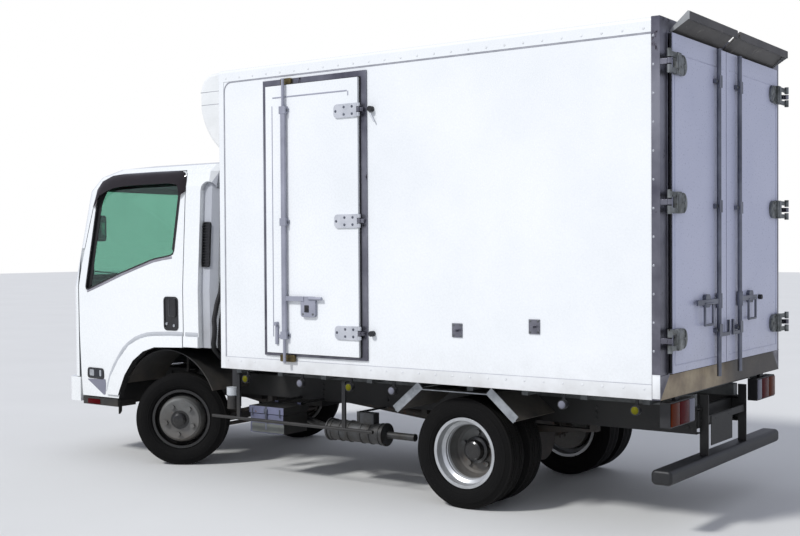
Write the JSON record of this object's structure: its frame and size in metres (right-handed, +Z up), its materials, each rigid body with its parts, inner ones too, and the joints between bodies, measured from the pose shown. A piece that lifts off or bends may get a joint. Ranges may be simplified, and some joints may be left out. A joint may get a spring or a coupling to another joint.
{
  "type": "refrigerated truck",
  "caption": "Cab-over refrigerated truck: insulated white box with a cooling unit above the cab, hinged side door, twin rear doors, twin rear wheels.",
  "frame": {"origin": "on the road under the middle of the truck", "axes": "+X points forward along the truck, +Y to its left side, +Z up"},
  "size_m": [4.952, 1.947, 2.748],
  "materials": {
    "frame_black": "satin",
    "galvanised": "matte",
    "box_aluminium": "satin",
    "panel_white": "gloss",
    "unit_white": "satin",
    "stainless": "brushed",
    "dark_trim": "satin",
    "cast_black": "matte",
    "engine_iron": "matte",
    "silencer_steel": "satin",
    "tank_steel": "satin",
    "trim_grey": "matte",
    "lamp_plastic": "gloss",
    "tyre": "matte",
    "wheel_silver": "satin",
    "cab_white": "gloss",
    "glass": "clear",
    "lamp_glass": "clear",
    "black_plastic": "matte",
    "grey_plastic": "matte",
    "seat_fabric": "woven"
  },
  "bodies": {
    "chassis": {"frame_rails": "frame_black", "crossmembers": "frame_black", "box_bearers": "galvanised", "box_floor": "box_aluminium", "box_left_wall": "panel_white", "box_right_wall": "panel_white", "box_front_wall": "panel_white", "box_roof": "panel_white", "rear_frame": "stainless", "side_door_frame": "stainless", "rear_hood": "dark_trim", "fridge_unit": "unit_white", "evaporator": "unit_white", "hold_backs": "stainless", "front_axle": "cast_black", "leaf_springs": "cast_black", "rear_axle": "cast_black", "propeller_shaft": "cast_black", "powertrain": "engine_iron", "exhaust": "silencer_steel", "fuel_tank": "tank_steel", "battery_box": "trim_grey", "rear_underrun": "frame_black", "lamps": "lamp_plastic", "side_guards": "stainless", "mudguards": "black_plastic"},
    "steering_left": {"knuckle_left": "cast_black"},
    "steering_right": {"knuckle_right": "cast_black"},
    "track_rod": {"tie_rod": "cast_black"},
    "wheel_front_left": {"tyre_front_left": "tyre", "rim_front_left": "wheel_silver"},
    "wheel_front_right": {"tyre_front_right": "tyre", "rim_front_right": "wheel_silver"},
    "wheels_rear_left": {"tyres_rear_left": "tyre", "rims_rear_left": "wheel_silver"},
    "wheels_rear_right": {"tyres_rear_right": "tyre", "rims_rear_right": "wheel_silver"},
    "cab": {"cab_floor": "cab_white", "cab_rear_wall": "cab_white", "cab_roof": "cab_white", "cab_front": "cab_white", "cab_glass": "glass", "headlamps": "lamp_glass", "mirrors": "black_plastic", "seats": "seat_fabric", "dashboard": "grey_plastic", "steering_wheel": "black_plastic", "front_bumper": "cab_white", "cab_steps": "black_plastic"},
    "cab_door_left": {"door_left": "cab_white", "door_glass_left": "glass"},
    "cab_door_right": {"door_right": "cab_white", "door_glass_right": "glass"},
    "box_side_door": {"side_door": "panel_white", "side_lock": "stainless"},
    "box_rear_door_left": {"rear_door_left": "panel_white", "rear_lock_left": "stainless"},
    "box_rear_door_right": {"rear_door_right": "panel_white", "rear_lock_right": "stainless"}
  },
  "joints": [
    {"name": "steer_left", "type": "hinge", "parent": "chassis", "child": "steering_left", "pos_m": [1.392, 0.612, 0.325], "axis": [0, 0, 1], "range_deg": [-68, 7]},
    {"name": "steer_right", "type": "hinge", "parent": "chassis", "child": "steering_right", "pos_m": [1.392, -0.612, 0.325], "axis": [0, 0, 1], "range_deg": [-68, 7]},
    {"name": "tie_rod_swing", "type": "hinge", "parent": "steering_left", "child": "track_rod", "pos_m": [1.272, 0.53989, 0.242], "axis": [0, 0, 1], "range_deg": [-7, 68]},
    {"name": "spin_front_left", "type": "hinge", "parent": "steering_left", "child": "wheel_front_left", "pos_m": [1.34668, 0.68743, 0.325], "axis": [-0.515, 0.8572, 0], "continuous": true},
    {"name": "spin_front_right", "type": "hinge", "parent": "steering_right", "child": "wheel_front_right", "pos_m": [1.43732, -0.68743, 0.325], "axis": [-0.515, 0.8572, 0], "continuous": true},
    {"name": "spin_rear_left", "type": "hinge", "parent": "chassis", "child": "wheels_rear_left", "pos_m": [-1.098, 0.636, 0.325], "axis": [0, 1, 0], "continuous": true},
    {"name": "spin_rear_right", "type": "hinge", "parent": "chassis", "child": "wheels_rear_right", "pos_m": [-1.098, -0.636, 0.325], "axis": [0, 1, 0], "continuous": true},
    {"name": "cab_tilt", "type": "hinge", "parent": "chassis", "child": "cab", "pos_m": [2.328, 0, 0.56], "axis": [0, 1, 0], "range_deg": [0, 45]},
    {"name": "cab_door_left_hinge", "type": "hinge", "parent": "cab", "child": "cab_door_left", "pos_m": [2.24, 0.826, 1.2], "axis": [0, 0, -1], "range_deg": [0, 70]},
    {"name": "cab_door_right_hinge", "type": "hinge", "parent": "cab", "child": "cab_door_right", "pos_m": [2.24, -0.826, 1.2], "axis": [0, 0, 1], "range_deg": [0, 70]},
    {"name": "side_door_hinge", "type": "hinge", "parent": "chassis", "child": "box_side_door", "pos_m": [-0.46, 0.974, 1.69], "axis": [0, 0, 1], "range_deg": [0, 175]},
    {"name": "rear_door_left_hinge", "type": "hinge", "parent": "chassis", "child": "box_rear_door_left", "pos_m": [-2.424, 0.938, 1.752], "axis": [0, 0, -1], "range_deg": [0, 265]},
    {"name": "rear_door_right_hinge", "type": "hinge", "parent": "chassis", "child": "box_rear_door_right", "pos_m": [-2.424, -0.938, 1.752], "axis": [0, 0, 1], "range_deg": [0, 265]}
  ],
  "couplings": [
    {"joint": "steer_right", "follows": "steer_left", "ratio": 1},
    {"joint": "tie_rod_swing", "follows": "steer_left", "ratio": -1}
  ]
}
